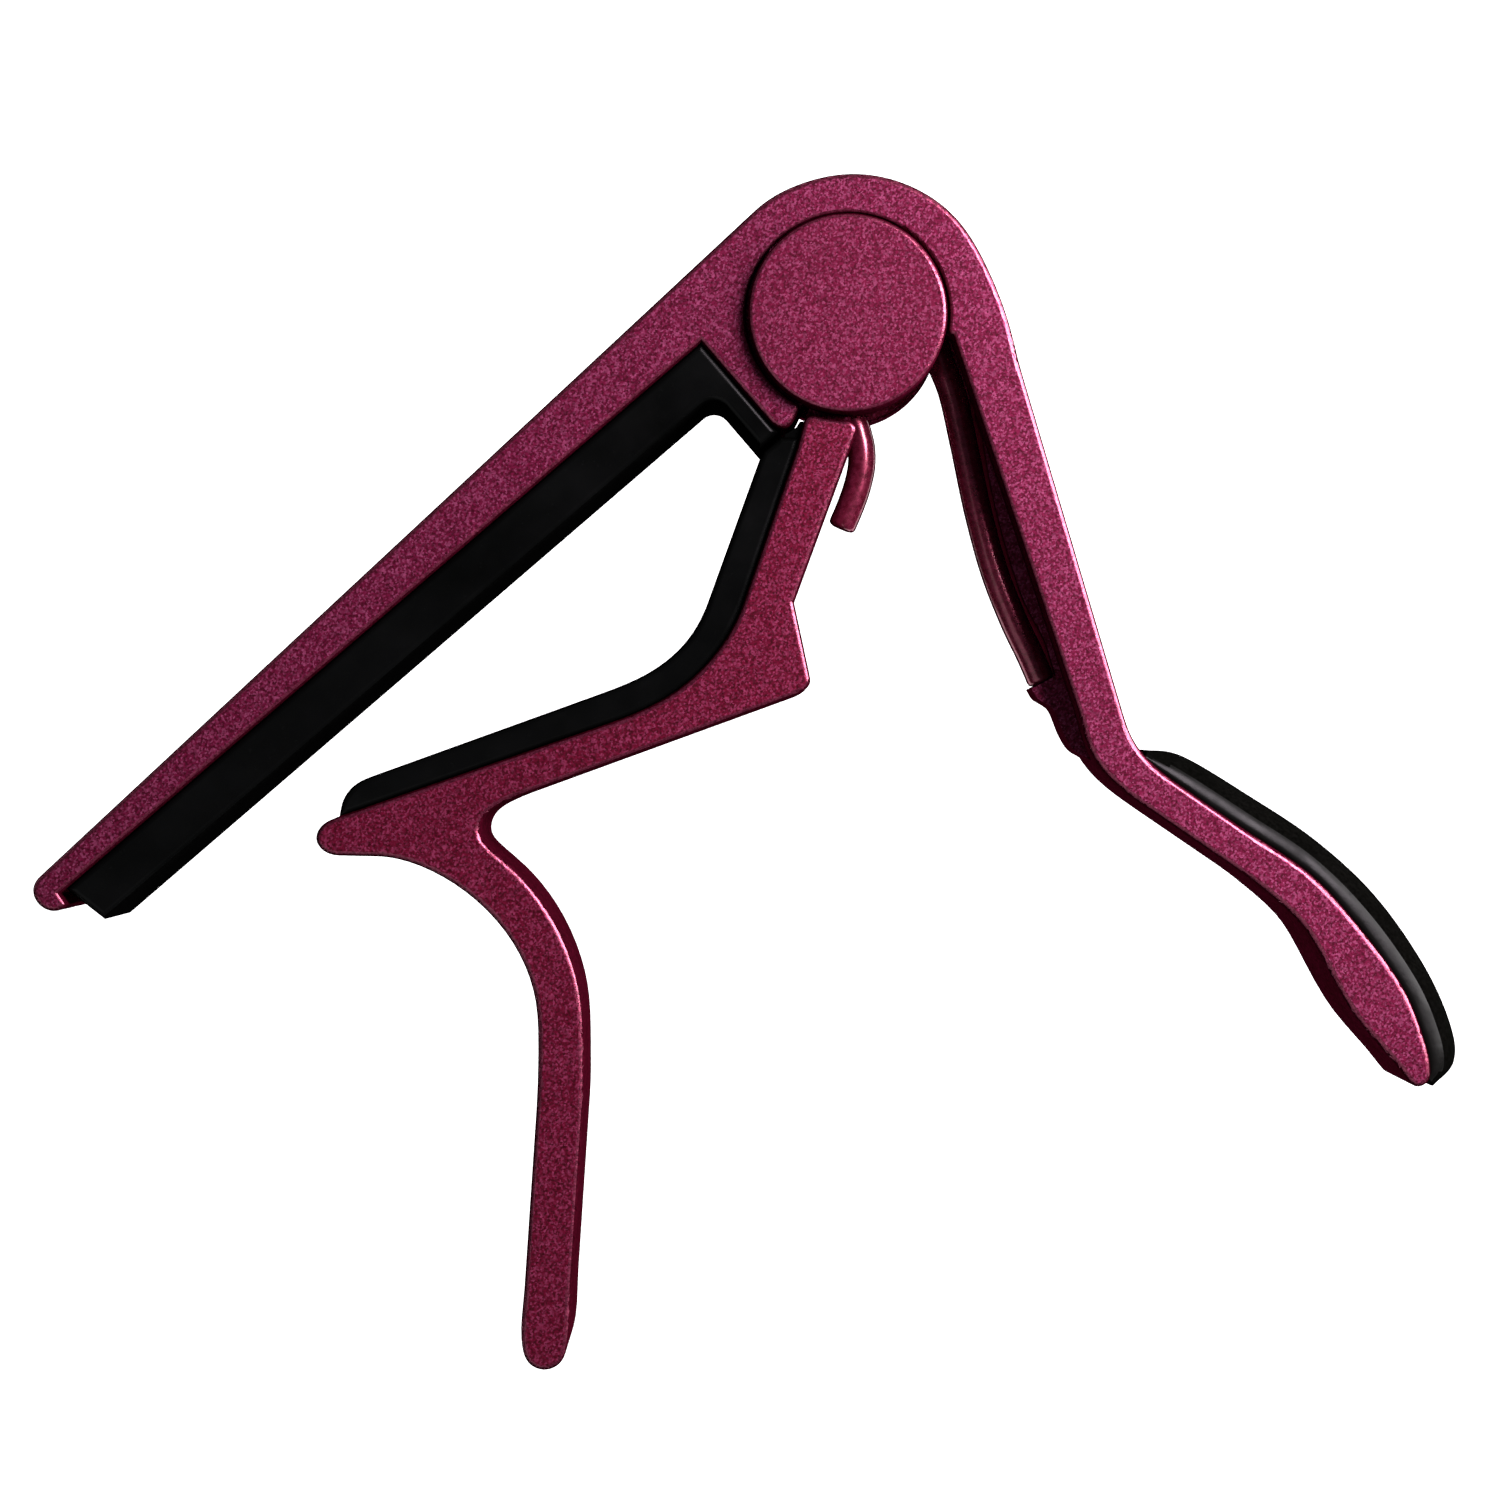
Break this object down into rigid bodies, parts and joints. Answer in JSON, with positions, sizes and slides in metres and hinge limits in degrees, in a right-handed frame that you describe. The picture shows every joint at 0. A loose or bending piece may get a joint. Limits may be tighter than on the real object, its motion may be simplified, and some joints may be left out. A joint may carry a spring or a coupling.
{
  "type": "guitar capo",
  "caption": "Spring-loaded trigger capo: fixed padded upper jaw and handle, pivoting padded lower jaw with finger lever, round pivot caps.",
  "frame": {"origin": "on the pivot axis, at the outer face of the rear pivot cap, which is the plane the capo rests on when it lies on its side", "axes": "+Z along the pivot axis towards the plain front cap, +Y from the jaws towards the elbow, +X towards the handle"},
  "size_m": [0.1054, 0.0881, 0.0156],
  "materials": {
    "frame_paint": "satin metallic paint with fine sparkle on a casting",
    "lever_paint": "satin metallic paint with fine sparkle on a casting",
    "cap_paint": "satin metallic paint with fine sparkle",
    "spring_paint": "smooth glossy paint on spring wire",
    "string_pad_silicone": "smooth moulded silicone",
    "neck_pad_silicone": "smooth moulded silicone",
    "grip_rubber": "satin moulded rubber",
    "bush_plastic": "moulded acetal",
    "washer_plastic": "nylon"
  },
  "bodies": {
    "frame_body": {"upper_jaw_frame": "frame_paint", "string_pad": "string_pad_silicone", "handle_grip": "grip_rubber", "pivot_barrel": "cap_paint", "pivot_screw": "cap_paint", "spring_bush": "bush_plastic", "front_washer": "washer_plastic", "rear_washer": "washer_plastic", "torsion_spring": "spring_paint"},
    "lever_body": {"lower_jaw_lever": "lever_paint", "neck_pad": "neck_pad_silicone"}
  },
  "joints": [
    {"name": "jaw_pivot", "type": "hinge", "parent": "frame_body", "child": "lever_body", "pos_m": [0, 0, 0.0078], "axis": [0, 0, 1], "range_deg": [0, 26], "stiffness_Nm_per_rad": 1.3, "springref_deg": -21.77, "deforming": ["torsion_spring"]}
  ]
}
